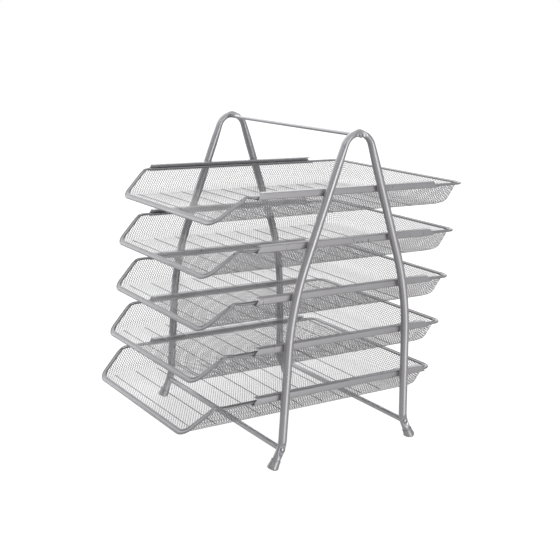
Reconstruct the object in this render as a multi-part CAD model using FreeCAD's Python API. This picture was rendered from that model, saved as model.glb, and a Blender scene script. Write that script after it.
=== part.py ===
"""Desktop file sorter: five mesh letter trays that slide in the rails of a bent-tube stand.

Millimetres. +Z is up, X runs across the width and the trays' open ends face -Y.
The origin is the centre of the bounding box's base, on the desk, with the trays in their rest places.
Tray 1 and rail 1 are the top tier.
"""

import math
import os

import FreeCAD
import Part

# Tiers
TIERS = 5
TIER_PITCH = 59.0
LOWEST_RAIL_Z = 80.5  # underside of the lowest rail
TRAY_SHIFT = [12.9, 4.8, 0.0, -9.0, -21.8]  # how far back each tray stands, top tier first

# Side frames, measured along the tube's centre line
TUBE_RADIUS = 5.0
TUBE_WALL = 1.0
FRAME_X = 141.0  # plane of each tube from the middle
APEX_Z = 386.0
APEX_BEND = 20.5
KNEE_HALF = 84.1  # corner between the slanted and the steep stretch of a leg
KNEE_Z = 192.0
KNEE_BEND = 350.0
ANKLE_HALF = 91.4  # corner where the leg kicks outwards
ANKLE_Z = 25.7
ANKLE_BEND = 40.0
KICK_ANGLE = 27.0  # of the foot, from the vertical
SLANT_ANGLE = 19.7  # of the upper leg, from the vertical

# Rails
RAIL_WEB_X = FRAME_X - TUBE_RADIUS  # outer face of the web, on the tube
RAIL_HEIGHT = 8.0
RAIL_DEPTH = 8.0
RAIL_SHEET = 1.0
RAIL_LENGTH = 258.0  # along the lower edge
RAIL_SLANT = 6.0  # how much shorter each end is at the top

# Trays, in the tray's own places: Y from the middle of the stand, Z down from the rim's top face
RIM_WIDTH = 7.0
RIM_THICK = 2.2
RIM_HALF = 133.2  # outer edge from the middle
RIM_GAP = 0.2  # between the rim and the rail's lower flange
RIM_REAR = 167.0
RIM_CORNER = 16.0
FOLD_Y = -151.3  # where the rim folds down towards the front
FOLD_ANGLE = 40.0
PINCH = 3.7  # how far the rim's sides come in at the fold
PINCH_LENGTH = 8.0
SLOPE_LEAN = 0.31  # how far the sloping sides come in, per unit of their length
SLOPE_CORNER = 19.0  # outer radius of the front corners
SHEET = 0.8
SHEET_SET_IN = 5.8  # of the sheet's outer face from the rim's outer edge
WALL_FLARE = 18.0  # of the walls, from the vertical
BASKET_DEPTH = 29.4  # from the rim's top face to the underside of the floor
BEND_WIDTH = 16.0  # of the elliptical bend between wall and floor
FLOOR_CORNER_GROWTH = 2.0  # of the corner radius, from the rim down to the floor
BEND_STEPS = 6
RIB_COUNT = 10
RIB_PITCH = 30.3
LAST_RIB_Y = 103.2
RIB_WIDTH = 1.6
RIB_DEPTH = 0.4

# Bars, screws and feet
CROSSBAR_RADIUS = 3.25
CROSSBAR_HALF = 93.0
CROSSBAR_Z = 22.5
HANDLE_RADIUS = 2.25
HANDLE_Z = 384.0
BAR_SEAT = 1.0  # how deep the tube is pressed in under a bar's end
HEAD_SEAT = 1.6  # how deep the tube is pressed in under a screw's head
SEAT_RADIUS = 5.2
CROSSBAR_SCREW = 1.95  # shank radius
CROSSBAR_HEAD = 3.3
HANDLE_SCREW = 1.45
HANDLE_HEAD = 2.7
HEAD_HEIGHT = 2.2
HEAD_SIDE = 0.7  # straight part of a head's side, under the dome
SCREW_REACH = 12.0  # how far a screw goes into its bar
SCREW_FREE = 0.05  # radial play of a screw in its holes
DRILL_FREE = 1.0  # of a bar's hole past the screw's tip
RECESS_LENGTH = 3.4
RECESS_WIDTH = 0.8
RECESS_DEPTH = 1.1
CAP_BASE_Z = -0.5  # centre of the cap's square end, before the flat is taken off at the desk
CAP_LENGTH = 12.5
CAP_FLOOR = 4.5
CAP_TOP_RADIUS = 5.9
CAP_FOOT_RADIUS = 7.1
CAP_PLAY = 0.05
CAP_ROUND = 1.8

X_AXIS = FreeCAD.Vector(1, 0, 0)
Z_AXIS = FreeCAD.Vector(0, 0, 1)
FAR = 500.0  # larger than the whole object

SIN_FOLD = math.sin(math.radians(FOLD_ANGLE))
TAN_FLARE = math.tan(math.radians(WALL_FLARE))
FRONT_REACH = (BASKET_DEPTH - RIM_THICK) / SIN_FOLD  # along the fold plane, from the fold to the floor


def vec(x, y, z):
    return FreeCAD.Vector(x, y, z)


def rail_base(tier):
    """Height of the underside of a tier's rails; tier 1 is the top one."""
    return LOWEST_RAIL_Z + (TIERS - tier) * TIER_PITCH


def rim_top(tier):
    return rail_base(tier) + RAIL_SHEET + RIM_GAP + RIM_THICK


def rounded_path(corners, radii):
    """Wire through corners in one plane, with each inner corner rounded to its radius."""
    edges = []
    start = corners[0]
    for before, corner, after, radius in zip(corners, corners[1:], corners[2:], radii):
        into = (corner - before).normalize()
        out = (after - corner).normalize()
        turn = math.acos(max(-1.0, min(1.0, into.dot(out))))
        reach = radius * math.tan(turn / 2)
        first = corner - into * reach
        last = corner + out * reach
        inward = (out - into).normalize()
        middle = corner + inward * (radius / math.cos(turn / 2) - radius)
        edges.append(Part.makeLine(start, first))
        edges.append(Part.Arc(first, middle, last).toShape())
        start = last
    edges.append(Part.makeLine(start, corners[-1]))
    return Part.Wire(edges)


# ---------------------------------------------------------------- side frames


def foot_point(height):
    """Half-spread of the foot's axis at a height, below the ankle."""
    return ANKLE_HALF + (ANKLE_Z - height) * math.tan(math.radians(KICK_ANGLE))


def leg_end():
    """Lower end of the tube's centre line, on the floor of the foot cap."""
    height = CAP_BASE_Z + CAP_FLOOR * math.cos(math.radians(KICK_ANGLE))
    return foot_point(height), height


def frame_path(x):
    """Centre line of one side frame, from the front foot over the apex to the rear foot."""
    half, low = leg_end()
    peak_rise = APEX_BEND / math.sin(math.radians(SLANT_ANGLE)) - APEX_BEND
    corners = [
        vec(x, -half, low),
        vec(x, -ANKLE_HALF, ANKLE_Z),
        vec(x, -KNEE_HALF, KNEE_Z),
        vec(x, 0, APEX_Z + peak_rise),
        vec(x, KNEE_HALF, KNEE_Z),
        vec(x, ANKLE_HALF, ANKLE_Z),
        vec(x, half, low),
    ]
    radii = [ANKLE_BEND, KNEE_BEND, APEX_BEND, KNEE_BEND, ANKLE_BEND]
    return rounded_path(corners, radii)


def swept_tube(path, radius):
    start = path.Edges[0]
    tangent = start.tangentAt(start.FirstParameter)
    ring = Part.Wire(Part.makeCircle(radius, start.valueAt(start.FirstParameter), tangent))
    return path.makePipeShell([ring], True, False)


def seat(side, y, z, radius, depth, outer):
    """Round punch that presses the tube in from its outer or inner side."""
    face = side * (FRAME_X + (TUBE_RADIUS - depth) * (1 if outer else -1))
    away = X_AXIS * (side if outer else -side)
    return Part.makeCylinder(radius, 2 * TUBE_RADIUS, vec(face, y, z), away)


def screw_places():
    """Where bars are screwed to a side frame, as (y, z, shank radius, head radius): front, rear and top."""
    return [
        (-CROSSBAR_HALF, CROSSBAR_Z, CROSSBAR_SCREW, CROSSBAR_HEAD),
        (CROSSBAR_HALF, CROSSBAR_Z, CROSSBAR_SCREW, CROSSBAR_HEAD),
        (0.0, HANDLE_Z, HANDLE_SCREW, HANDLE_HEAD),
    ]


def side_frame(side):
    """Hollow bent tube, pressed flat where the screws and the bars meet it."""
    path = frame_path(side * FRAME_X)
    outside = swept_tube(path, TUBE_RADIUS)
    inside = swept_tube(path, TUBE_RADIUS - TUBE_WALL)
    holes = []
    for y, z, shank, _ in screw_places():
        for depth, outer in ((HEAD_SEAT, True), (BAR_SEAT, False)):
            outside = outside.cut(seat(side, y, z, SEAT_RADIUS, depth, outer))
            inside = inside.cut(seat(side, y, z, SEAT_RADIUS + TUBE_WALL, depth + TUBE_WALL, outer))
        start = vec(side * (FRAME_X - 2 * TUBE_RADIUS), y, z)
        holes.append(Part.makeCylinder(shank + SCREW_FREE, 4 * TUBE_RADIUS, start, X_AXIS * side))
    return outside.cut(inside).cut(holes)


def foot_cap(side, end):
    """Flared cap on a tube end, square to the tilted foot, with a flat land on the desk."""
    tilt = math.radians(KICK_ANGLE)
    axis = vec(0, -end * math.sin(tilt), math.cos(tilt))
    base = vec(side * FRAME_X, end * foot_point(CAP_BASE_Z), CAP_BASE_Z)
    body = Part.makeCone(CAP_FOOT_RADIUS, CAP_TOP_RADIUS, CAP_LENGTH, base, axis)
    body = body.makeFillet(CAP_ROUND, [e for e in body.Edges if e.Closed and e.BoundBox.ZMin < 0])
    bore = Part.makeCylinder(TUBE_RADIUS + CAP_PLAY, FAR, base + axis * CAP_FLOOR, axis)
    below = Part.makeBox(2 * FAR, 2 * FAR, FAR, vec(-FAR, -FAR, -FAR))
    return body.cut(bore).cut(below)


# ---------------------------------------------------------------- rails and bars


def rail(side, tier):
    """C-channel with its open side towards the trays and both ends cut at a slant."""
    base = rail_base(tier)
    low = RAIL_LENGTH / 2
    high = low - RAIL_SLANT
    corners = [
        vec(0, -low, base),
        vec(0, low, base),
        vec(0, high, base + RAIL_HEIGHT),
        vec(0, -high, base + RAIL_HEIGHT),
    ]
    outline = Part.Face(Part.makePolygon(corners + corners[:1]))
    outline.translate(vec(side * RAIL_WEB_X, 0, 0))
    block = outline.extrude(X_AXIS * (-side * RAIL_DEPTH))
    channel = Part.makeBox(RAIL_DEPTH, 2 * low, RAIL_HEIGHT - 2 * RAIL_SHEET)
    inner = side * (RAIL_WEB_X - RAIL_SHEET) - (RAIL_DEPTH if side > 0 else 0)
    channel.translate(vec(inner, -low, base + RAIL_SHEET))
    return block.cut(channel)


def bar(y, z, radius, shank):
    """Round bar from frame to frame, drilled at both ends for its screws."""
    half = RAIL_WEB_X + BAR_SEAT
    rod = Part.makeCylinder(radius, 2 * half, vec(-half, y, z), X_AXIS)
    deep = SCREW_REACH + DRILL_FREE
    drills = [
        Part.makeCylinder(shank + SCREW_FREE, deep, vec(-half, y, z), X_AXIS),
        Part.makeCylinder(shank + SCREW_FREE, deep, vec(half, y, z), X_AXIS * -1),
    ]
    return rod.cut(drills)


def screw_head(face, y, z, radius):
    """Domed head with a cross recess, standing on a face square to X."""
    rise = HEAD_HEIGHT - HEAD_SIDE
    ball = (radius**2 + rise**2) / (2 * rise)
    dome = Part.makeSphere(ball, vec(face + HEAD_HEIGHT - ball, y, z))
    head = Part.makeCylinder(radius, HEAD_HEIGHT, vec(face, y, z), X_AXIS).common(dome)
    slots = []
    for long, tall in ((RECESS_LENGTH, RECESS_WIDTH), (RECESS_WIDTH, RECESS_LENGTH)):
        slot = Part.makeBox(HEAD_HEIGHT, long, tall)
        slot.translate(vec(face + HEAD_HEIGHT - RECESS_DEPTH, y - long / 2, z - tall / 2))
        slots.append(slot)
    return head.cut(slots)


def screw(side, y, z, shank, head):
    """Screw from the pressed seat on the tube's outer side into the bar's end."""
    face = FRAME_X + TUBE_RADIUS - HEAD_SEAT
    tip = RAIL_WEB_X + BAR_SEAT - SCREW_REACH
    stem = Part.makeCylinder(shank, face - tip, vec(tip, y, z), X_AXIS)
    whole = screw_head(face, y, z, head).fuse(stem)
    return whole if side > 0 else whole.mirror(vec(0, 0, 0), X_AXIS)


# ---------------------------------------------------------------- trays


def wall_profile(skin):
    """Section of the dish as (set-in, depth) pairs from the top edge to the flat floor.

    skin is how far the surface lies inside the sheet's outer face. The bend is the ellipse that the
    sloping front plane cuts to a true circle, so the front corners are round.
    """
    in_plane = math.atan(TAN_FLARE * SIN_FOLD)
    start = FRONT_REACH - BEND_WIDTH + BEND_WIDTH * math.sin(in_plane)
    centre = start * math.tan(in_plane) + BEND_WIDTH * math.cos(in_plane)
    top = -3.0 * RIM_THICK  # well above the rim's underside, to be trimmed there
    lean = math.hypot(1.0, TAN_FLARE)
    points = [(top * TAN_FLARE + skin * lean, RIM_THICK + top)]
    for step in range(BEND_STEPS + 1):
        angle = in_plane + (math.pi / 2 - in_plane) * step / BEND_STEPS
        across = math.cos(angle) * BEND_WIDTH
        down = (FRONT_REACH - BEND_WIDTH + math.sin(angle) * BEND_WIDTH) * SIN_FOLD
        normal = vec(math.cos(angle) * SIN_FOLD, 0, math.sin(angle)).normalize()
        points.append((centre - across + skin * normal.x, RIM_THICK + down - skin * normal.z))
    return points


def dish_section(set_in, depth, grown, top_z):
    """Rounded rectangle of the dish at one depth, running far past the front."""
    half = RIM_HALF - SHEET_SET_IN - set_in
    rear = RIM_REAR - SHEET_SET_IN - set_in
    z = top_z - depth
    front = FOLD_Y - 3 * BASKET_DEPTH
    radius = RIM_CORNER - SHEET_SET_IN + FLOOR_CORNER_GROWTH * grown
    corners = [
        vec(half, front, z),
        vec(half, rear, z),
        vec(-half, rear, z),
        vec(-half, front, z),
    ]
    sides = rounded_path(corners, [radius, radius])
    return Part.Wire(sides.Edges + [Part.makeLine(corners[-1], corners[0])])


def dish(skin, top_z):
    profile = wall_profile(skin)
    last = len(profile) - 1
    wires = [dish_section(s, d, i / last, top_z) for i, (s, d) in enumerate(profile)]
    return Part.makeLoft(wires, True, True)


def above_rim(top_z):
    """Everything above the underside of the rim: a level slab and, past the fold, a sloping one."""
    z = top_z - RIM_THICK
    bend = FOLD_Y + RIM_THICK * math.tan(math.radians(FOLD_ANGLE) / 2)
    drop = math.tan(math.radians(FOLD_ANGLE)) * FAR
    corners = [
        vec(-FAR, bend - FAR, z - drop),
        vec(-FAR, bend, z),
        vec(-FAR, FAR, z),
        vec(-FAR, FAR, z + FAR),
        vec(-FAR, bend - FAR, z + FAR),
    ]
    return Part.Face(Part.makePolygon(corners + corners[:1])).extrude(X_AXIS * (2 * FAR))


def rib_grooves(top_z):
    """Creases pressed across the floor at an even pitch."""
    floor = top_z - BASKET_DEPTH + SHEET
    half = RIM_HALF - SHEET_SET_IN - wall_profile(SHEET)[-1][0]
    grooves = []
    for rib in range(RIB_COUNT):
        y = LAST_RIB_Y - rib * RIB_PITCH
        corners = [
            vec(-half, y - RIB_WIDTH / 2, floor),
            vec(-half, y + RIB_WIDTH / 2, floor),
            vec(-half, y, floor - RIB_DEPTH),
        ]
        face = Part.Face(Part.makePolygon(corners + corners[:1]))
        grooves.append(face.extrude(X_AXIS * (2 * half)))
    return grooves


def mesh_basket(tier):
    """Closed sheet of the basket, without its perforations."""
    top_z = rim_top(tier)
    sheet = dish(0.0, top_z).cut(dish(SHEET, top_z))
    sheet = sheet.cut(above_rim(top_z))
    sheet = sheet.cut(rib_grooves(top_z))
    sheet.translate(vec(0, TRAY_SHIFT[tier - 1], 0))
    return sheet


def front_band(top_z):
    """Sloping front part of the rim, made flat and then tipped about the fold line.

    Its sides lean in and run round the front corners into the front bar.
    """
    mouth = FRONT_REACH + RIM_THICK * math.tan(math.radians(FOLD_ANGLE) / 2)
    faces = []
    for set_in in (0.0, RIM_WIDTH):
        half = RIM_HALF - PINCH - set_in
        reach = mouth + SHEET_SET_IN - set_in
        radius = SLOPE_CORNER - set_in
        corners = [
            vec(half, 0, 0),
            vec(half - reach * SLOPE_LEAN, -reach, 0),
            vec(reach * SLOPE_LEAN - half, -reach, 0),
            vec(-half, 0, 0),
        ]
        sides = rounded_path(corners, [radius, radius])
        faces.append(Part.Face(Part.Wire(sides.Edges + [Part.makeLine(corners[-1], corners[0])])))
    band = faces[0].cut(faces[1]).extrude(Z_AXIS * -RIM_THICK)
    band.rotate(vec(0, 0, 0), X_AXIS, FOLD_ANGLE)
    band.translate(vec(0, FOLD_Y, top_z))
    return band


def level_band(top_z):
    """Level part of the rim: the back, and both sides with their pinch just behind the fold."""
    wires = []
    front = FOLD_Y - RIM_THICK
    pinched = FOLD_Y + PINCH_LENGTH
    for set_in in (0.0, RIM_WIDTH):
        half = RIM_HALF - set_in
        rear = RIM_REAR - set_in
        radius = RIM_CORNER - set_in
        corners = [
            vec(half - PINCH, front, top_z),
            vec(half - PINCH, FOLD_Y, top_z),
            vec(half, pinched, top_z),
            vec(half, rear, top_z),
            vec(-half, rear, top_z),
            vec(-half, pinched, top_z),
            vec(PINCH - half, FOLD_Y, top_z),
            vec(PINCH - half, front, top_z),
        ]
        sides = rounded_path(corners, [PINCH, PINCH, radius, radius, PINCH, PINCH])
        wires.append(Part.Wire(sides.Edges + [Part.makeLine(corners[-1], corners[0])]))
    return Part.Face(wires[0]).cut(Part.Face(wires[1])).extrude(Z_AXIS * -RIM_THICK)


def mitre(top_z):
    """Half-space behind the plane that halves the angle between level and sloping band."""
    block = Part.makeBox(2 * FAR, FAR, 2 * FAR, vec(-FAR, 0, -FAR))
    block.rotate(vec(0, 0, 0), X_AXIS, FOLD_ANGLE / 2)
    block.translate(vec(0, FOLD_Y, top_z))
    return block


def rim(tier):
    """Flat strip round the basket's edge, folded down at the front."""
    top_z = rim_top(tier)
    behind = mitre(top_z)
    level = level_band(top_z).common(behind)
    sloping = front_band(top_z).cut(behind)
    whole = level.fuse(sloping).removeSplitter()
    whole.translate(vec(0, TRAY_SHIFT[tier - 1], 0))
    return whole


# ---------------------------------------------------------------- the whole object


def stand_nodes():
    nodes = {}
    for name, side in (("left", -1), ("right", 1)):
        nodes[f"{name}_side_frame"] = side_frame(side)
        for tier in range(1, TIERS + 1):
            nodes[f"{name}_rail_{tier}"] = rail(side, tier)
        for place, end in (("front", -1), ("rear", 1)):
            nodes[f"{place}_{name}_foot_cap"] = foot_cap(side, end)
    front, rear, top = screw_places()
    nodes["front_crossbar"] = bar(*front[:2], CROSSBAR_RADIUS, CROSSBAR_SCREW)
    nodes["rear_crossbar"] = bar(*rear[:2], CROSSBAR_RADIUS, CROSSBAR_SCREW)
    nodes["top_handle_bar"] = bar(*top[:2], HANDLE_RADIUS, HANDLE_SCREW)
    low = [screw(side, *place) for side in (-1, 1) for place in (front, rear)]
    nodes["crossbar_screws"] = Part.makeCompound(low)
    nodes["handle_screws"] = Part.makeCompound([screw(side, *top) for side in (-1, 1)])
    return nodes


def tray_nodes():
    nodes = {}
    for tier in range(1, TIERS + 1):
        nodes[f"tray_{tier}_mesh_basket"] = mesh_basket(tier)
        nodes[f"tray_{tier}_rim"] = rim(tier)
    return nodes


def export_all():
    """Centres the object on its bounding box and writes one STEP file per node."""
    os.makedirs("parts", exist_ok=True)
    nodes = {**stand_nodes(), **tray_nodes()}
    box = Part.makeCompound(list(nodes.values())).optimalBoundingBox()
    shift = vec(0, -(box.YMin + box.YMax) / 2, 0)
    for name, shape in nodes.items():
        shape.translate(shift)
        shape.exportStep(f"parts/{name}.step")


export_all()
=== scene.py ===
"""Looks of the desktop file sorter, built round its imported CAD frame.

+Z is up and the trays' open ends face -Y. Shapes are worked out in millimetres, in the stand's own
places (Y from the middle of the stand) or in a tray's (Z down from the top face of its rim), and turned
into metres in the frame's places when their meshes are made.
"""

import math

import bmesh
import bpy
import numpy as np
from mathutils import Matrix, Vector


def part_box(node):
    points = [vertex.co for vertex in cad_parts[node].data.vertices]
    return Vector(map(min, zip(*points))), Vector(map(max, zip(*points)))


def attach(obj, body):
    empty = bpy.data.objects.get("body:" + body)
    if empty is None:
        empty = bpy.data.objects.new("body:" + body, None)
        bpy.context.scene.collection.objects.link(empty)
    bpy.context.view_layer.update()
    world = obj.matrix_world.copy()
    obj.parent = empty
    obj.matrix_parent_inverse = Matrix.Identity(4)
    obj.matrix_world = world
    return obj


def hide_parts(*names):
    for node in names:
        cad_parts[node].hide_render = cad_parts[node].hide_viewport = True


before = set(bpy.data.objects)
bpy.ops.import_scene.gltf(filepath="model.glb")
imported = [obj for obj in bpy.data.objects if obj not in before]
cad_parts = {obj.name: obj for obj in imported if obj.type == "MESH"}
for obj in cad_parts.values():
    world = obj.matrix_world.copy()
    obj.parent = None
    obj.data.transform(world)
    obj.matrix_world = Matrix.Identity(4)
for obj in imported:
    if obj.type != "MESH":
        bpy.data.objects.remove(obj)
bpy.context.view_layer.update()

MM = 0.001
TINY = 1e-9  # keeps a sign or a quotient defined at 0
TRAYS = range(1, 6)
SIDES = (("left", -1), ("right", 1))

# Side frames, along the tube's centre line
TUBE_RADIUS = 5.0
TUBE_SEGMENTS = 40
TUBE_STEP = 1.5
FRAME_X = 141.0
APEX_Z = 386.0
APEX_BEND = 20.5
KNEE_HALF = 84.1
KNEE_Z = 192.0
KNEE_BEND = 350.0
ANKLE_HALF = 91.4
ANKLE_Z = 25.7
ANKLE_BEND = 40.0
KICK_ANGLE = math.radians(27.0)
SLANT_ANGLE = math.radians(19.7)
TUBE_END_Z = 3.5
CROSSBAR_HALF = 93.0
CROSSBAR_Z = 22.5
HANDLE_Z = 384.0
HEAD_PRESS = 1.6  # how deep the tube is pressed in under a screw's head
BAR_PRESS = 1.0  # and under a bar's end
PRESS_FLAT = 4.4  # how far from the screw the pressed flat reaches
PRESS_FADE = 7.6  # where the tube is round again
PRESS_LONG = 1.25  # how much longer than wide the pressing is
PRESS_MOAT = 0.4  # how much deeper the tube is pressed round a screw's head than under it
MOAT_RADIUS = 3.9
MOAT_SPREAD = 1.3
BEND_NARROW = 0.26  # share of its width that the tube loses in the bend at the apex
BEND_FLAT = 14.0  # how far from the apex it is fully narrowed
BEND_FADE = 30.0  # where it has its full width again
PEAK_LIFT = 1.25  # of the tube's upper side at the apex
PEAK_SAG = 0.5  # of its lower side
PEAK_SPREAD = 4.2

# Foot caps: (height along the tilted axis, radius) from the middle of the foot up to the mouth
CAP_BASE_Z = -0.5
CAP_SEGMENTS = 48
CAP_SHARP = math.radians(40.0)
CAP_PROFILE = (
    (0.0, 2.0),
    (0.0, 5.0),
    (0.25, 5.9),
    (0.8, 6.5),
    (1.7, 6.85),
    (2.8, 6.9),
    (5.0, 6.55),
    (8.0, 6.0),
    (10.0, 5.75),
    (10.2, 5.95),
    (11.7, 5.95),
    (12.2, 5.8),
    (12.4, 5.5),
    (12.45, 5.1),
    (11.6, 4.85),
)

# Rails
RAIL_SHEET = 1.0
RAIL_SLANT = 6.0
RAIL_BEND = 1.2
WELD_RADIUS = 1.15
WELD_LENGTH = 6.5
WELD_SPREAD = 2.6  # of the beads from the line where tube and web touch
WELD_RINGS = 25
WELD_SIDES = 12
WELD_RIPPLE = 0.09
WELD_RIPPLES = 6
RAIL_STATIONS = 33
RAIL_SHARP = math.radians(50.0)  # edges sharper than this stay sharp

# Trays
RIM_WIDTH = 7.0
RIM_THICK = 2.2
RIM_HALF = 133.2
RIM_REAR = 167.0
RIM_CORNER = 16.0
FOLD_Y = -151.3
FOLD_ANGLE = math.radians(40.0)
FOLD_BEND = 4.5
PINCH = 3.7
PINCH_LENGTH = 8.0
SLOPE_LEAN = 0.31
SLOPE_CORNER = 19.0
NOTCH = 3.0  # how much narrower the hem is at the fold
NOTCH_SPREAD = 7.0
NOTCH_BACK = 1.0  # how far behind the fold the middle of the narrow part lies
SHEET_SET_IN = 5.8
WALL_FLARE = math.radians(18.0)
BASKET_DEPTH = 29.4
BEND_WIDTH = 16.0
BEND_STEPS = 25
CORNER_GROWTH = 2.0
SHEET = 0.8
HEM_STEP = 2.0
HEM_SHARP = math.radians(60.0)
HEM_LIP = (  # (in from the hem's edge, height) from the edge's foot over the lip into the channel
    (0.12, -1.75),
    (0.0, -1.2),
    (0.15, -0.6),
    (0.5, -0.18),
    (1.0, 0.0),
    (1.5, -0.25),
    (1.9, -0.8),
)
HEM_CHANNEL = 0.95  # how deep the channel is in the middle
HEM_UNDER = 0.6  # how far the flat underside stands in from the edge

# Expanded metal
MESH_PITCH = 3.3  # of the diamonds along the tray
MESH_ROW = 2.6  # between staggered rows across the tray
STRAND = 0.58
STRAND_THICK = 0.12
KNUCKLE_TWIST = 0.03  # how far the strands' crossings stand off the sheet's middle
CREASE_COUNT = 10
CREASE_PITCH = 30.3
LAST_CREASE_Y = 103.2
CREASE_WIDTH = 1.3
CREASE_STATIONS = 25
CREASE_LIP = 0.3  # how high a crease's edges stand
CREASE_DIP = 0.1  # how deep its upper side dips in the middle
CREASE_KEEL = 0.4  # how deep its underside reaches
PANEL_ARCH = 0.45
ARCH_FLAT = 2.0  # how far inside the floor's outline the arches start
ARCH_FULL = 14.0  # and where they have their full height
HEM_GRIP = 0.7  # how far the mesh reaches into the hem

SIN_FOLD = math.sin(FOLD_ANGLE)
COS_FOLD = math.cos(FOLD_ANGLE)
FRONT_REACH = (BASKET_DEPTH - RIM_THICK) / SIN_FOLD
STAND_Y = sum(corner.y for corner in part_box("top_handle_bar")) / 2  # middle of the stand, in metres

# Paint: detail in cells per metre, bump heights in metres
CLOUD_SCALE = 26.0
FLAKE_SCALE = 2600.0
PEEL_SCALE = 420.0
PEEL_HEIGHT = 0.00012
FLAKE_HEIGHT = 0.00003
SHEEN_SCALE = 70.0
SHEEN_RANGE = (0.26, 0.36)  # roughness of the glossiest and the dullest paint

# Camera and room
CAMERA_PLACE = Vector((1.0308, -0.6803, 0.4841))
CAMERA_AZIMUTH = math.radians(56.26)
CAMERA_DROP = math.radians(13.54)
CAMERA_ROLL = math.radians(1.7)
CAMERA_LENS = 63.55
FLOOR_HALF = 30.0
FLOOR_GLOW = 0.93
AIR_LIGHT = 0.46
LIGHT_TARGET = (0.0, 0.0, 0.2)
AREA_LIGHTS = (  # name, place, size, watts
    ("side_strip", (2.3, 0.25, 0.7), (0.45, 1.6), 8.0),
    ("back_wall", (-2.4, 1.6, 1.5), (2.2, 1.2), 10.0),
    ("front_top", (0.2, -1.9, 2.1), (1.2, 1.2), 6.0),
)
AIR_SECTORS = (  # middle of the sector, half-angles where it starts and ends to fade, strength
    ((0.97, 0.12, -0.2), 8.0, 32.0, 1.7),
    ((-0.9, -0.1, 0.45), 15.0, 50.0, 1.2),
    ((0.3, 0.1, 0.9), 20.0, 60.0, 0.5),
)


# ---------------------------------------------------------------- mesh helpers


def mesh_object(name, points, faces, material, smooth=True, offset=(0.0, 0.0, 0.0)):
    """Object from points in millimetres and faces, moved by an offset in metres."""
    mesh = bpy.data.meshes.new(name)
    mesh.from_pydata((np.asarray(points, float) * MM + np.asarray(offset, float)).tolist(), [], faces)
    mesh.validate()
    mesh.update()
    if smooth:
        mesh.shade_smooth()
    mesh.materials.append(material)
    made = bpy.data.objects.new(name, mesh)
    bpy.context.scene.collection.objects.link(made)
    return made


def unit(vectors):
    """The same directions, each of length 1."""
    return vectors / np.linalg.norm(vectors, axis=-1, keepdims=True)


def rounded_line(corners, radii, step, closed=False):
    """Points along straight runs between corners, with each corner rounded to its radius."""
    corners = [np.asarray(c, float) for c in corners]
    count = len(corners)
    turns = range(count) if closed else range(1, count - 1)
    points = [] if closed else [corners[0]]
    for turn, radius in zip(turns, radii):
        corner = corners[turn]
        into = unit(corner - corners[turn - 1])
        out = unit(corners[(turn + 1) % count] - corner)
        angle = math.acos(max(-1.0, min(1.0, float(into @ out))))
        reach = radius * math.tan(angle / 2)
        centre = corner + unit(out - into) * (radius / math.cos(angle / 2))
        first = corner - into * reach
        pieces = max(3, math.ceil(angle * radius / step))
        side = first - centre
        for piece in range(pieces + 1):
            swing = angle * piece / pieces
            points.append(centre + side * math.cos(swing) + into * radius * math.sin(swing))
    if not closed:
        points.append(corners[-1])
    return even_steps(np.array(points), step, closed)


def even_steps(points, step, closed):
    """Adds points along the long runs, so that no two neighbours are further apart than about a step."""
    ends = np.roll(points, -1, axis=0) if closed else points[1:]
    filled = []
    for start, end in zip(points, ends):
        pieces = max(1, round(float(np.linalg.norm(end - start)) / step))
        for piece in range(pieces):
            filled.append(start + (end - start) * piece / pieces)
    if not closed:
        filled.append(points[-1])
    return np.array(filled)


def tangents(path, closed):
    """Direction of the path at each of its points."""
    if closed:
        return unit(np.roll(path, -1, axis=0) - np.roll(path, 1, axis=0))
    return unit(np.gradient(path, axis=0))


def ring_faces(rings, size, closed):
    """Quads between rings of size points each, with flat ends where the sweep is open."""
    faces = []
    for ring in range(rings if closed else rings - 1):
        here = ring * size
        there = (ring + 1) % rings * size
        for k in range(size):
            after = (k + 1) % size
            faces.append((here + k, here + after, there + after, there + k))
    if not closed:
        faces.append(tuple(reversed(range(size))))
        faces.append(tuple(range((rings - 1) * size, rings * size)))
    return faces


# ---------------------------------------------------------------- materials


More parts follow.
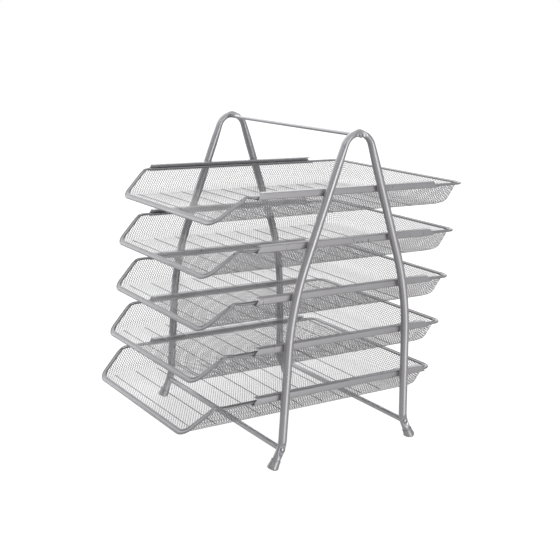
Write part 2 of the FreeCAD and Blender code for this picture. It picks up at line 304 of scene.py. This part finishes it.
class Shader:
    """Small helper that adds nodes to a material and links them."""

    def __init__(self, name):
        self.material = bpy.data.materials.new(name)
        self.material.use_nodes = True
        self.tree = self.material.node_tree
        self.surface = self.tree.nodes["Principled BSDF"]
        self.place = self.tree.nodes.new("ShaderNodeTexCoord").outputs["Object"]

    def noise(self, scale, detail, roughness=0.5):
        node = self.tree.nodes.new("ShaderNodeTexNoise")
        node.inputs["Scale"].default_value = scale
        node.inputs["Detail"].default_value = detail
        node.inputs["Roughness"].default_value = roughness
        self.tree.links.new(self.place, node.inputs["Vector"])
        return node.outputs["Fac"]

    def ramp(self, value, low, high, to_low, to_high):
        node = self.tree.nodes.new("ShaderNodeMapRange")
        node.inputs["From Min"].default_value = low
        node.inputs["From Max"].default_value = high
        node.inputs["To Min"].default_value = to_low
        node.inputs["To Max"].default_value = to_high
        self.tree.links.new(value, node.inputs["Value"])
        return node.outputs["Result"]

    def mix(self, share, first, second):
        """Mixes two colours, each a socket or a plain colour, by a socket."""
        node = self.tree.nodes.new("ShaderNodeMix")
        node.data_type = "RGBA"
        colours = [socket for socket in node.inputs if socket.type == "RGBA"]
        self.tree.links.new(share, node.inputs["Factor"])
        for socket, colour in zip(colours, (first, second)):
            if isinstance(colour, tuple):
                socket.default_value = (*colour, 1.0)
            else:
                self.tree.links.new(colour, socket)
        return next(socket for socket in node.outputs if socket.type == "RGBA")

    def edges(self, low, high):
        """1 on sharp outer edges, 0 elsewhere."""
        node = self.tree.nodes.new("ShaderNodeNewGeometry")
        return self.ramp(node.outputs["Pointiness"], low, high, 0.0, 1.0)

    def bump(self, height, distance, strength, under=None):
        node = self.tree.nodes.new("ShaderNodeBump")
        node.inputs["Distance"].default_value = distance
        node.inputs["Strength"].default_value = strength
        self.tree.links.new(height, node.inputs["Height"])
        if under is not None:
            self.tree.links.new(under, node.inputs["Normal"])
        return node.outputs["Normal"]

    def set(self, **values):
        for name, value in values.items():
            socket = self.surface.inputs[name.replace("_", " ")]
            if isinstance(value, bpy.types.NodeSocket):
                self.tree.links.new(value, socket)
            else:
                socket.default_value = value


def scaled(colour, factor):
    return tuple(part * factor for part in colour)


def silver_paint(name, colour, edge_lift, metallic=0.7):
    """Satin aluminium-grey powder paint: flake, slight clouding, orange peel and paler worn edges."""
    shader = Shader(name)
    cloud = shader.ramp(shader.noise(CLOUD_SCALE, 4.0), 0.3, 0.7, 0.0, 1.0)
    flake = shader.ramp(shader.noise(FLAKE_SCALE, 2.0), 0.35, 0.75, 0.0, 1.0)
    base = shader.mix(cloud, scaled(colour, 0.95), scaled(colour, 1.05))
    base = shader.mix(flake, base, scaled(colour, 1.16))
    base = shader.mix(shader.edges(0.52, 0.62), base, scaled(colour, edge_lift))
    peel = shader.bump(shader.noise(PEEL_SCALE, 3.0), PEEL_HEIGHT, 0.5)
    grain = shader.bump(shader.noise(FLAKE_SCALE, 2.0), FLAKE_HEIGHT, 0.35, peel)
    rough = shader.ramp(shader.noise(SHEEN_SCALE, 5.0, 0.6), 0.3, 0.7, *SHEEN_RANGE)
    shader.set(Base_Color=base, Roughness=rough, Normal=grain, Metallic=metallic)
    shader.set(Coat_Weight=0.12, Coat_Roughness=0.3)
    return shader.material


def foot_plastic():
    """Silver-grey moulded plastic with a soft sheen, a fine grain and scuffs."""
    shader = Shader("foot_plastic")
    colour = (0.34, 0.335, 0.345)
    scuff = shader.ramp(shader.noise(60.0, 6.0, 0.7), 0.5, 0.75, 0.0, 1.0)
    base = shader.mix(scuff, colour, scaled(colour, 1.25))
    grain = shader.bump(shader.noise(1500.0, 4.0), 0.00005, 0.4)
    rough = shader.ramp(shader.noise(120.0, 4.0), 0.3, 0.7, 0.26, 0.38)
    shader.set(Base_Color=base, Roughness=rough, Normal=grain, Metallic=0.6)
    return shader.material


def screw_steel():
    """Zinc-plated steel with fine turning marks."""
    shader = Shader("screw_steel")
    stain = shader.ramp(shader.noise(300.0, 4.0), 0.35, 0.7, 0.0, 1.0)
    base = shader.mix(stain, (0.52, 0.52, 0.54), (0.38, 0.38, 0.4))
    marks = shader.bump(shader.noise(3000.0, 2.0), 0.00002, 0.4)
    rough = shader.ramp(shader.noise(500.0, 3.0), 0.3, 0.7, 0.22, 0.4)
    shader.set(Base_Color=base, Roughness=rough, Normal=marks, Metallic=1.0)
    return shader.material


def floor_paper():
    """Backdrop paper that glows nearly white, so that it shows as pale as the surroundings."""
    shader = Shader("floor_paper")
    base = shader.mix(shader.noise(3.0, 3.0), (0.19, 0.19, 0.19), (0.21, 0.21, 0.21))
    shader.set(Base_Color=base, Roughness=0.9)
    shader.set(Emission_Color=(1.0, 1.0, 1.0, 1.0), Emission_Strength=FLOOR_GLOW)
    return shader.material


SILVER = (0.345, 0.338, 0.352)
frame_paint = silver_paint("frame_paint", scaled(SILVER, 1.08), 1.3)
rail_paint = silver_paint("rail_paint", scaled(SILVER, 1.02), 1.35)
# The rims carry the frame's silver paint; this copy is darkened as painted shade on the rims.
rim_paint = silver_paint("rim_paint", scaled(SILVER, 0.8), 1.4)
# The mesh carries the same silver paint; this copy is darkened further as painted shade on the strands.
mesh_paint = silver_paint("mesh_paint", scaled(SILVER, 0.68), 1.15)
foot_paint = foot_plastic()
screw_paint = screw_steel()


# ---------------------------------------------------------------- side frames


def tube_path(side):
    """Centre line of one side frame, from its front foot over the apex to its rear foot."""
    peak = APEX_Z + APEX_BEND / math.sin(SLANT_ANGLE) - APEX_BEND
    foot_half = ANKLE_HALF + (ANKLE_Z - TUBE_END_Z) * math.tan(KICK_ANGLE)
    front = [(-foot_half, TUBE_END_Z), (-ANKLE_HALF, ANKLE_Z), (-KNEE_HALF, KNEE_Z)]
    rear = [(-y, z) for y, z in reversed(front)]
    corners = [(side * FRAME_X, y, z) for y, z in (*front, (0.0, peak), *rear)]
    radii = (ANKLE_BEND, KNEE_BEND, APEX_BEND, KNEE_BEND, ANKLE_BEND)
    return rounded_line(corners, radii, TUBE_STEP)


def fade(distance, inner, outer):
    """1 up to inner, 0 beyond outer, smooth between."""
    share = np.clip((outer - distance) / (outer - inner), 0.0, 1.0)
    return share * share * (3 - 2 * share)


def press_flat(points, places, along, side):
    """Presses the tube in, oval and soft-edged, where screws and bars meet it."""
    for y, z in places:
        gap = points[:, 1:] - (y, z)
        nearest = np.argmin(np.linalg.norm(gap, axis=1))
        lengthwise = gap @ along[nearest, 1:]
        crosswise = gap @ np.array([-along[nearest, 2], along[nearest, 1]])
        reach = np.hypot(lengthwise / PRESS_LONG, crosswise)
        depth = fade(reach, PRESS_FLAT, PRESS_FADE)
        moat = PRESS_MOAT * np.exp(-(((reach - MOAT_RADIUS) / MOAT_SPREAD) ** 2))
        out = (points[:, 0] - side * FRAME_X) * side
        out = np.minimum(out, TUBE_RADIUS - HEAD_PRESS * depth - moat)
        out = np.maximum(out, BAR_PRESS * depth - TUBE_RADIUS)
        points[:, 0] = side * (FRAME_X + out)


def bend_squash(path, points, along):
    """Ovalises the tube round the tight bend at the apex, where it is narrower in the bend's plane.

    At the screw the pressing pushes it out again, to a low peak above and a slight sag below.
    """
    reach = np.abs(path[:, 1])
    upper_part = path[:, 2] > KNEE_Z
    narrow = np.where(upper_part, 1 - BEND_NARROW * fade(reach, BEND_FLAT, BEND_FADE), 1.0)
    peak = np.exp(-((reach / PEAK_SPREAD) ** 2)) * upper_part
    lift = PEAK_LIFT * peak
    sag = PEAK_SAG * peak
    middle = np.repeat(path, TUBE_SEGMENTS, axis=0)
    gap = points - middle
    crossing = np.stack([np.zeros(len(along)), -along[:, 2], along[:, 1]], axis=1)
    crossing *= np.sign(crossing[:, 2:3] + TINY)
    offset = np.sum(gap * crossing, axis=1)
    scale = np.repeat(narrow, TUBE_SEGMENTS)
    change = offset * (scale - 1)
    upper = np.clip(offset / TUBE_RADIUS, 0.0, 1.0) ** 2
    lower = np.clip(-offset / TUBE_RADIUS, 0.0, 1.0) ** 2
    change += upper * np.repeat(lift, TUBE_SEGMENTS) - lower * np.repeat(sag, TUBE_SEGMENTS)
    return points + crossing * change[:, None]


def side_frame(name, side, path):
    """One bent tube, ovalised at its apex and pressed flat at its screws."""
    along = tangents(path, False)
    across = np.zeros_like(path)
    across[:, 0] = 1.0
    square = np.cross(along, across)
    angles = np.arange(TUBE_SEGMENTS) * 2 * math.pi / TUBE_SEGMENTS
    ring = np.cos(angles)[None, :, None] * across[:, None] + np.sin(angles)[None, :, None] * square[:, None]
    points = (path[:, None] + ring * TUBE_RADIUS).reshape(-1, 3)
    points = bend_squash(path, points, np.repeat(along, TUBE_SEGMENTS, axis=0))
    places = ((-CROSSBAR_HALF, CROSSBAR_Z), (CROSSBAR_HALF, CROSSBAR_Z), (0.0, HANDLE_Z))
    press_flat(points, places, np.repeat(along, TUBE_SEGMENTS, axis=0), side)
    faces = ring_faces(len(path), TUBE_SEGMENTS, False)
    made = mesh_object(f"{name}_frame_tube", points, faces, frame_paint, offset=(0, STAND_Y, 0))
    finish_piece(made, "stand", f"{name}_side_frame")


def finish_piece(piece, body, node):
    """Hangs a piece on the body it rides on, and hides the CAD node it stands for."""
    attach(piece, body)
    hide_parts(node)


# ---------------------------------------------------------------- foot caps


def foot_cap(place, name, side):
    """Moulded cap on a tube's end: a collar, a slightly waisted wall and a rounded foot, flat on the desk."""
    node = f"{place}_{name}_foot_cap"
    end = -1 if place == "front" else 1
    base_half = ANKLE_HALF + (ANKLE_Z - CAP_BASE_Z) * math.tan(KICK_ANGLE)
    base = np.array([side * FRAME_X, end * base_half, CAP_BASE_Z])
    axis = np.array([0.0, -end * math.sin(KICK_ANGLE), math.cos(KICK_ANGLE)])
    level = np.array([1.0, 0.0, 0.0])
    square = np.cross(axis, level)
    points = []
    for up, radius in CAP_PROFILE:
        for k in range(CAP_SEGMENTS):
            turn = k * 2 * math.pi / CAP_SEGMENTS
            points.append(base + axis * up + (level * math.cos(turn) + square * math.sin(turn)) * radius)
    points = np.array(points)
    points[:, 2] = np.maximum(points[:, 2], 0.0)
    faces = ring_faces(len(CAP_PROFILE), CAP_SEGMENTS, False)
    made = mesh_object(node + "_moulding", points, faces, foot_paint, offset=(0, STAND_Y, 0))
    made.data.set_sharp_from_angle(angle=CAP_SHARP)
    finish_piece(made, "stand", node)


# ---------------------------------------------------------------- rails


def rail_section(height, depth):
    """Outline of the C-shaped sheet as (inwards, up) pairs, with rounded bends at the web."""
    inner = RAIL_BEND - RAIL_SHEET * 0.8
    outline = [(depth, 0.0)]
    outline += arc(RAIL_BEND, RAIL_BEND, RAIL_BEND, 270, 180)
    outline += arc(RAIL_BEND, height - RAIL_BEND, RAIL_BEND, 180, 90)
    outline += [(depth, height), (depth, height - RAIL_SHEET)]
    corner = RAIL_SHEET + inner
    outline += arc(corner, height - corner, inner, 90, 180)
    outline += arc(corner, corner, inner, 180, 270)
    outline += [(depth, RAIL_SHEET)]
    return outline


def arc(x, y, radius, start, end, pieces=5):
    angles = [math.radians(start + (end - start) * k / pieces) for k in range(pieces + 1)]
    return [(x + radius * math.cos(a), y + radius * math.sin(a)) for a in angles]


def leg_place(path, height):
    """Y of the rear leg's centre line at a height; the front leg mirrors it."""
    rear = path[path[:, 1] > 0]
    return float(np.interp(height, rear[::-1, 2], rear[::-1, 1]))


def weld_bead(web, side, y, z):
    """Rippled bead of weld in the groove between a rail's web and a tube, running up the web."""
    points = []
    for step in range(WELD_RINGS):
        share = step / (WELD_RINGS - 1)
        round_off = math.sqrt(max(0.04, 1 - (2 * share - 1) ** 4))
        radius = WELD_RADIUS * round_off * (1 + WELD_RIPPLE * math.cos(share * WELD_RIPPLES * 2 * math.pi))
        for k in range(WELD_SIDES):
            turn = k * 2 * math.pi / WELD_SIDES
            out = web + side * radius * math.cos(turn)
            points.append((out, y + radius * math.sin(turn), z + (share - 0.5) * WELD_LENGTH))
    return points, ring_faces(WELD_RINGS, WELD_SIDES, False)


def rail(name, side, tier, path):
    """Bent-sheet rail with slanted ends and the weld beads that hold it to the tube."""
    node = f"{name}_rail_{tier}"
    low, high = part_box(node)
    height = (high.z - low.z) / MM
    depth = (high.x - low.x) / MM
    half = (high.y - low.y) / 2 / MM
    web = (high.x if side > 0 else low.x) / MM
    section = rail_section(height, depth)
    stations = np.linspace(-1.0, 1.0, RAIL_STATIONS)
    points = []
    for station in stations:
        for inward, up in section:
            points.append((web - side * inward, station * (half - RAIL_SLANT * up / height), up))
    faces = ring_faces(len(stations), len(section), False)
    leg = leg_place(path, low.z / MM + height / 2)
    for y in (leg - WELD_SPREAD, leg + WELD_SPREAD, -leg - WELD_SPREAD, -leg + WELD_SPREAD):
        bead, bead_faces = weld_bead(web, side, y, height / 2)
        faces += [tuple(k + len(points) for k in face) for face in bead_faces]
        points += bead
    base = (0, STAND_Y, low.z)
    made = mesh_object(node + "_channel", points, faces, rail_paint, offset=base)
    made.data.set_sharp_from_angle(angle=RAIL_SHARP)
    finish_piece(made, "stand", node)


# ---------------------------------------------------------------- mesh baskets


def wall_table():
    """Section of the sheet's middle from the floor's edge up past the hem: arrays over the length along it.

    Returns length, set-in from the sheet's top edge line, height under the rim's top, and corner radius.
    """
    lean = math.atan(math.tan(WALL_FLARE) * SIN_FOLD)
    start = FRONT_REACH - BEND_WIDTH + BEND_WIDTH * math.sin(lean)
    centre = start * math.tan(lean) + BEND_WIDTH * math.cos(lean)
    angles = np.linspace(math.pi / 2, lean, BEND_STEPS)
    normals = unit(np.stack([np.cos(angles) * SIN_FOLD, np.sin(angles)], axis=1))
    set_in = centre - np.cos(angles) * BEND_WIDTH + normals[:, 0] * SHEET / 2
    height = -RIM_THICK - (FRONT_REACH - BEND_WIDTH + np.sin(angles) * BEND_WIDTH) * SIN_FOLD
    height = height + normals[:, 1] * SHEET / 2
    top = RIM_THICK
    set_in = np.append(set_in, set_in[-1] - (top - height[-1]) * math.tan(WALL_FLARE))
    height = np.append(height, top)
    length = np.append(0.0, np.cumsum(np.hypot(np.diff(set_in), np.diff(height))))
    radius = RIM_CORNER - SHEET_SET_IN + CORNER_GROWTH * (1 - length / length[-1])
    return length, set_in, height, radius


WALL = wall_table()
FLOOR_EDGE = RIM_HALF - SHEET_SET_IN - WALL[1][0]  # half-width of the flat floor
FLOOR_REAR = RIM_REAR - SHEET_SET_IN - WALL[1][0]
FLOOR_CORNER = WALL[3][0]
CORNER_X = FLOOR_EDGE - FLOOR_CORNER
CORNER_Y = FLOOR_REAR - FLOOR_CORNER


def beyond_floor(flat):
    """How far points of the flat blank lie outside the floor's outline, below 0 on the floor."""
    over_x = np.maximum(np.abs(flat[:, 0]) - CORNER_X, 0.0)
    over_y = np.maximum(flat[:, 1] - CORNER_Y, 0.0)
    return np.hypot(over_x, over_y) - FLOOR_CORNER


def floor_arch(flat):
    """Height of the floor's gentle arches between its creases."""
    place = (LAST_CREASE_Y - flat[:, 1]) / CREASE_PITCH
    share = place - np.floor(place)
    inside = (place > 0) & (place < CREASE_COUNT - 1)
    arch = PANEL_ARCH * (1 - (2 * share - 1) ** 2) * inside
    return arch * (1 - fade(-beyond_floor(flat), ARCH_FLAT, ARCH_FULL))


def draw_up(flat):
    """Places and normals, on the drawn basket, of points of the flat mesh blank."""
    mirror = np.where(flat[:, 0] < 0, -1.0, 1.0)
    over_x = np.maximum(np.abs(flat[:, 0]) - CORNER_X, 0.0)
    over_y = np.maximum(flat[:, 1] - CORNER_Y, 0.0)
    beyond = beyond_floor(flat)
    length, set_in, height, radius = WALL
    inset, up, bend = (np.interp(beyond, length, column) for column in (set_in, height, radius))
    half = RIM_HALF - SHEET_SET_IN - inset
    rear = RIM_REAR - SHEET_SET_IN - inset
    side_run = rear - bend - CORNER_Y
    end_run = half - bend - CORNER_X
    turn = bend * math.pi / 2
    share = np.arctan2(over_y, np.maximum(over_x, TINY)) / (math.pi / 2)
    walk = share * (side_run + turn + end_run)
    swing = np.clip((walk - side_run) / bend, 0.0, math.pi / 2)
    x = half - bend + bend * np.cos(swing) - np.maximum(walk - side_run - turn, 0.0)
    y = CORNER_Y + np.minimum(walk, side_run) + bend * np.sin(swing)
    x = np.where(over_x == 0, np.abs(flat[:, 0]), x)
    y = np.where(over_y == 0, flat[:, 1], y)
    on_floor = beyond <= 0
    x = np.where(on_floor, np.abs(flat[:, 0]), x)
    y = np.where(on_floor, flat[:, 1], y)
    z = np.where(on_floor, height[0] + floor_arch(flat), up)
    rise = np.interp(beyond, (length[1:] + length[:-1]) / 2, np.diff(height) / np.diff(length))
    rise = np.where(on_floor, 0.0, rise)
    run = np.sqrt(1 - rise**2)
    out_x = np.cos(swing) * mirror
    normal = np.stack([-rise * out_x, -rise * np.sin(swing), run], axis=1)
    return np.stack([x * mirror, y, z], axis=1), normal


def mesh_cells():
    """Grid places of the diamonds' middles, as (row across, half-pitch along) integers."""
    reach = WALL[0][-1]
    rows = int((FLOOR_EDGE + reach) / MESH_ROW) + 1
    front = int((FOLD_Y - 2 * BASKET_DEPTH) / (MESH_PITCH / 2))
    rear = int((FLOOR_REAR + reach) / (MESH_PITCH / 2)) + 1
    across, along = np.meshgrid(np.arange(-rows, rows + 1), np.arange(front, rear + 1), indexing="ij")
    cells = np.stack([across.ravel(), along.ravel()], axis=1)
    cells = cells[(cells.sum(axis=1) % 2) == 0]
    flat = cells * (MESH_ROW, MESH_PITCH / 2)
    return cells[beyond_floor(flat) < reach]


def under_hem(points):
    """How far points lie above the planes where the hem grips the mesh; below 0 is in the open."""
    level = points[:, 2] + RIM_THICK - HEM_GRIP
    sloping = (points[:, 1] - FOLD_Y) * -SIN_FOLD + points[:, 2] * COS_FOLD + RIM_THICK - HEM_GRIP
    return np.maximum(level, sloping)


def expanded_metal(cells):
    """Points and faces of the strands round the given diamonds, closed along the piece's outline."""
    steps = np.array([(1, 0), (0, 1), (-1, 0), (0, -1)])
    knots = cells[:, None] + steps
    keys, knot_of = np.unique(knots.reshape(-1, 2), axis=0, return_inverse=True)
    knot_of = knot_of.reshape(-1, 4)
    inradius = MESH_ROW * MESH_PITCH / 2 / math.hypot(MESH_ROW, MESH_PITCH / 2)
    opening = 1 - STRAND / 2 / inradius
    spacing = np.array([MESH_ROW, MESH_PITCH / 2])
    holes = (cells[:, None] + steps * opening).reshape(-1, 2)
    flat = np.concatenate([keys, holes]) * spacing
    middle, normal = draw_up(flat)
    twist = np.zeros(len(flat))
    twist[: len(keys)] = np.where(keys[:, 0] % 2 == 0, KNUCKLE_TWIST, -KNUCKLE_TWIST)
    upper = middle + normal * (STRAND_THICK / 2 + twist)[:, None]
    lower = middle - normal * (STRAND_THICK / 2 - twist)[:, None]
    points = np.concatenate([upper, lower])
    under = len(flat)
    hole_of = len(keys) + np.arange(len(holes)).reshape(-1, 4)
    quads = []
    for k in range(4):
        after = (k + 1) % 4
        a, b = knot_of[:, k], knot_of[:, after]
        c, d = hole_of[:, after], hole_of[:, k]
        quads.append(np.stack([a, b, c, d], axis=1))
        quads.append(np.stack([a, d, c, b], axis=1) + under)
        quads.append(np.stack([d, c, c + under, d + under], axis=1))
    quads.append(outline_faces(knot_of, under))
    return points, np.concatenate(quads)


def outline_faces(knot_of, under):
    """Side faces along the edges that only one diamond uses."""
    starts = knot_of.ravel()
    ends = np.roll(knot_of, -1, axis=1).ravel()
    pair = np.stack([np.minimum(starts, ends), np.maximum(starts, ends)], axis=1)
    _, index, uses = np.unique(pair, axis=0, return_inverse=True, return_counts=True)
    lone = uses[index.ravel()] == 1
    a, b = starts[lone], ends[lone]
    return np.stack([b, a, a + under, b + under], axis=1)


def trimmed(points, faces):
    """The mesh cut off inside the hem, with its cut ends closed."""
    above = under_hem(points)
    near = above[faces].min(axis=1) < 0
    faces = faces[near]
    used, faces = np.unique(faces, return_inverse=True)
    faces = faces.reshape(-1, 4)
    mesh = bpy.data.meshes.new("trim")
    mesh.from_pydata(points[used].tolist(), [], faces.tolist())
    work = bmesh.new()
    work.from_mesh(mesh)
    slope_normal = (0.0, -SIN_FOLD, COS_FOLD)
    grip = RIM_THICK - HEM_GRIP
    slope_point = (0.0, FOLD_Y + grip * SIN_FOLD, -grip * COS_FOLD)
    for point, normal in (((0.0, 0.0, -grip), (0.0, 0.0, 1.0)), (slope_point, slope_normal)):
        everything = work.verts[:] + work.edges[:] + work.faces[:]
        cut = bmesh.ops.bisect_plane(
            work, geom=everything, dist=1e-5, plane_co=point, plane_no=normal, clear_outer=True
        )
        edges = [item for item in cut["geom_cut"] if isinstance(item, bmesh.types.BMEdge)]
        bmesh.ops.holes_fill(work, edges=edges, sides=0)
    work.to_mesh(mesh)
    work.free()
    return mesh


def crease(index):
    """Pressed line across the floor, where the openings are squeezed shut, as points and faces."""
    y = LAST_CREASE_Y - index * CREASE_PITCH
    half = CREASE_WIDTH / 2
    floor = WALL[2][0]
    section = [(-half, CREASE_LIP), (0.0, -CREASE_DIP), (half, CREASE_LIP)]
    section += [(half, 0.0), (0.0, -CREASE_KEEL), (-half, 0.0)]
    points = []
    for x in np.linspace(-FLOOR_EDGE, FLOOR_EDGE, CREASE_STATIONS):
        points += [(x, y + across, floor + up) for across, up in section]
    return points, ring_faces(CREASE_STATIONS, len(section), False)


def basket_meshes():
    """The two shared meshes of every tray: its floor with the creases, and its walls."""
    cells = mesh_cells()
    flat = cells * (MESH_ROW, MESH_PITCH / 2)
    on_floor = beyond_floor(flat) <= 0
    made = []
    for name, chosen in (("mesh_floor", on_floor), ("mesh_walls", ~on_floor)):
        mesh = trimmed(*expanded_metal(cells[chosen]))
        mesh.name = name
        made.append(mesh)
    add_creases(made[0])
    for mesh in made:
        mesh.transform(Matrix.Scale(MM, 4))
        mesh.materials.append(mesh_paint)
        mesh.update()
    return made


def add_creases(mesh):
    """Adds every crease to the floor's mesh."""
    work = bmesh.new()
    work.from_mesh(mesh)
    for index in range(CREASE_COUNT):
        points, faces = crease(index)
        corners = [work.verts.new(point) for point in points]
        for face in faces:
            work.faces.new([corners[k] for k in face])
    work.to_mesh(mesh)
    work.free()


def tray_place(tier):
    """Where a tray's own origin lies: under the middle of the stand's width, on top of its rim."""
    low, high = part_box(f"tray_{tier}_rim")
    return Vector((0.0, high.y - RIM_REAR * MM, high.z))


def basket(tier, meshes):
    """A tray's floor and walls, from the shared meshes."""
    for mesh in meshes:
        piece = bpy.data.objects.new(f"tray_{tier}_{mesh.name}", mesh)
        bpy.context.scene.collection.objects.link(piece)
        piece.location = tray_place(tier)
        finish_piece(piece, f"tray_{tier}", f"tray_{tier}_mesh_basket")


# ---------------------------------------------------------------- hems


def hem_path():
    """Middle of the hem's top face, once round the tray."""
    half = RIM_HALF - RIM_WIDTH / 2
    rear = RIM_REAR - RIM_WIDTH / 2
    mouth = FRONT_REACH + RIM_THICK * math.tan(FOLD_ANGLE / 2)
    reach = mouth + SHEET_SET_IN - RIM_WIDTH / 2
    front_half = half - PINCH - reach * SLOPE_LEAN
    front = (FOLD_Y - reach * COS_FOLD, -reach * SIN_FOLD)
    right = [
        (front_half, *front),
        (half - PINCH, FOLD_Y, 0.0),
        (half, FOLD_Y + PINCH_LENGTH, 0.0),
        (half, rear, 0.0),
    ]
    left = [(-x, y, z) for x, y, z in reversed(right)]
    radii = [SLOPE_CORNER - RIM_WIDTH / 2, FOLD_BEND, 2 * PINCH, RIM_CORNER - RIM_WIDTH / 2]
    return rounded_line(right + left, radii + radii[::-1], HEM_STEP, closed=True)


def hem_section():
    """Folded hem as (outwards, up) pairs: two raised lips with a shallow channel between them."""
    half = RIM_WIDTH / 2
    right = [(half - inset, up) for inset, up in HEM_LIP]
    left = [(-x, up) for x, up in reversed(right)]
    under = [(-half + HEM_UNDER, -RIM_THICK), (half - HEM_UNDER, -RIM_THICK)]
    return right + [(0.0, -HEM_CHANNEL)] + left + under


def hem_mesh():
    """The hem that every tray shares, swept once round the tray and narrowed at the fold."""
    path = hem_path()
    along = tangents(path, True)
    level = np.array([0.0, 0.0, 1.0])
    slope = np.array([0.0, -SIN_FOLD, COS_FOLD])
    tip = FOLD_BEND * math.tan(FOLD_ANGLE / 2)
    tilt = fade(path[:, 1] - FOLD_Y, -tip * COS_FOLD, tip)[:, None]
    up = level * (1 - tilt) + slope * tilt
    out = unit(np.cross(along, up))
    up = unit(np.cross(out, along))
    notch = 1 - NOTCH / RIM_WIDTH * 2 * fade(np.abs(path[:, 1] - FOLD_Y - NOTCH_BACK), 0.0, NOTCH_SPREAD)
    section = hem_section()
    points = []
    for b, n in section:
        wide = b * notch if b > 0 else np.full(len(path), b)
        points.append(path + out * wide[:, None] + up * n)
    points = np.stack(points, axis=1).reshape(-1, 3)
    faces = ring_faces(len(path), len(section), True)
    mesh = bpy.data.meshes.new("hem")
    mesh.from_pydata((points * MM).tolist(), [], faces)
    mesh.update()
    mesh.shade_smooth()
    mesh.set_sharp_from_angle(angle=HEM_SHARP)
    mesh.materials.append(rim_paint)
    return mesh


def hem(tier, mesh):
    piece = bpy.data.objects.new(f"tray_{tier}_hem", mesh)
    bpy.context.scene.collection.objects.link(piece)
    piece.location = tray_place(tier)
    finish_piece(piece, f"tray_{tier}", f"tray_{tier}_rim")


# ---------------------------------------------------------------- CAD nodes that stay


def paint_node(node, material):
    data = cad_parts[node].data
    data.materials.clear()
    data.materials.append(material)


def paint_kept_nodes():
    for node in ("front_crossbar", "rear_crossbar", "top_handle_bar"):
        paint_node(node, frame_paint)
    for node in ("crossbar_screws", "handle_screws"):
        paint_node(node, screw_paint)


# ---------------------------------------------------------------- room


def area_light(name, place, size, power):
    """Rectangular light that faces the object and isn't seen itself."""
    data = bpy.data.lights.new(name, "AREA")
    data.shape = "RECTANGLE"
    data.size, data.size_y = size
    data.energy = power
    made = bpy.data.objects.new(name, data)
    made.location = place
    made.rotation_euler = (Vector(LIGHT_TARGET) - Vector(place)).to_track_quat("-Z", "Y").to_euler()
    made.visible_camera = False
    bpy.context.scene.collection.objects.link(made)


def lit_sector(tree, direction, middle, narrow, wide, strength):
    """Strength of one lit part of the surroundings, fading out round its middle."""
    turn = tree.nodes.new("ShaderNodeVectorMath")
    turn.operation = "DOT_PRODUCT"
    turn.inputs[1].default_value = Vector(middle).normalized()
    tree.links.new(direction, turn.inputs[0])
    share = tree.nodes.new("ShaderNodeMapRange")
    share.interpolation_type = "SMOOTHSTEP"
    share.inputs["From Min"].default_value = math.cos(math.radians(wide))
    share.inputs["From Max"].default_value = math.cos(math.radians(narrow))
    share.inputs["To Max"].default_value = strength
    tree.links.new(turn.outputs["Value"], share.inputs["Value"])
    return share.outputs["Result"]


def studio_air():
    """Surroundings that show white, and light the object from a few soft sectors."""
    world = bpy.data.worlds.new("studio")
    world.use_nodes = True
    tree = world.node_tree
    back = tree.nodes["Background"]
    back.inputs["Color"].default_value = (1.0, 1.0, 1.0, 1.0)
    direction = tree.nodes.new("ShaderNodeTexCoord").outputs["Generated"]
    steady = tree.nodes.new("ShaderNodeValue")
    steady.outputs["Value"].default_value = AIR_LIGHT
    total = steady.outputs["Value"]
    for sector in AIR_SECTORS:
        add = tree.nodes.new("ShaderNodeMath")
        tree.links.new(lit_sector(tree, direction, *sector), add.inputs[0])
        tree.links.new(total, add.inputs[1])
        total = add.outputs["Value"]
    rays = tree.nodes.new("ShaderNodeLightPath")
    strength = tree.nodes.new("ShaderNodeMapRange")
    strength.inputs["To Max"].default_value = 1.0
    tree.links.new(rays.outputs["Is Camera Ray"], strength.inputs["Value"])
    tree.links.new(total, strength.inputs["To Min"])
    tree.links.new(strength.outputs["Result"], back.inputs["Strength"])
    return world


def room():
    floor_points = [
        (-FLOOR_HALF, -FLOOR_HALF, 0.0),
        (FLOOR_HALF, -FLOOR_HALF, 0.0),
        (FLOOR_HALF, FLOOR_HALF, 0.0),
        (-FLOOR_HALF, FLOOR_HALF, 0.0),
    ]
    floor = mesh_object("floor", np.array(floor_points) / MM, [(0, 1, 2, 3)], floor_paper(), smooth=False)
    floor.visible_glossy = False
    bpy.context.scene.world = studio_air()
    for light in AREA_LIGHTS:
        area_light(*light)
    bpy.context.scene.view_settings.view_transform = "Standard"


def camera():
    """Camera at the height and angle of the reference view."""
    forward = Vector((
        -math.sin(CAMERA_AZIMUTH) * math.cos(CAMERA_DROP),
        math.cos(CAMERA_AZIMUTH) * math.cos(CAMERA_DROP),
        -math.sin(CAMERA_DROP),
    ))
    level = forward.cross(Vector((0, 0, 1))).normalized()
    upright = level.cross(forward)
    right = level * math.cos(CAMERA_ROLL) + upright * math.sin(CAMERA_ROLL)
    up = upright * math.cos(CAMERA_ROLL) - level * math.sin(CAMERA_ROLL)
    data = bpy.data.cameras.new("camera")
    data.lens = CAMERA_LENS
    made = bpy.data.objects.new("camera", data)
    turn = Matrix((right, up, -forward)).transposed()
    made.matrix_world = Matrix.Translation(CAMERA_PLACE) @ turn.to_4x4()
    bpy.context.scene.collection.objects.link(made)
    bpy.context.scene.camera = made


# ---------------------------------------------------------------- the whole scene

camera()
room()
paint_kept_nodes()
for side_name, side_sign in SIDES:
    frame_path = tube_path(side_sign)
    side_frame(side_name, side_sign, frame_path)
    for foot in ("front", "rear"):
        foot_cap(foot, side_name, side_sign)
    for tier in TRAYS:
        rail(side_name, side_sign, tier, frame_path)
shared_meshes = basket_meshes()
shared_hem = hem_mesh()
for tier in TRAYS:
    basket(tier, shared_meshes)
    hem(tier, shared_hem)
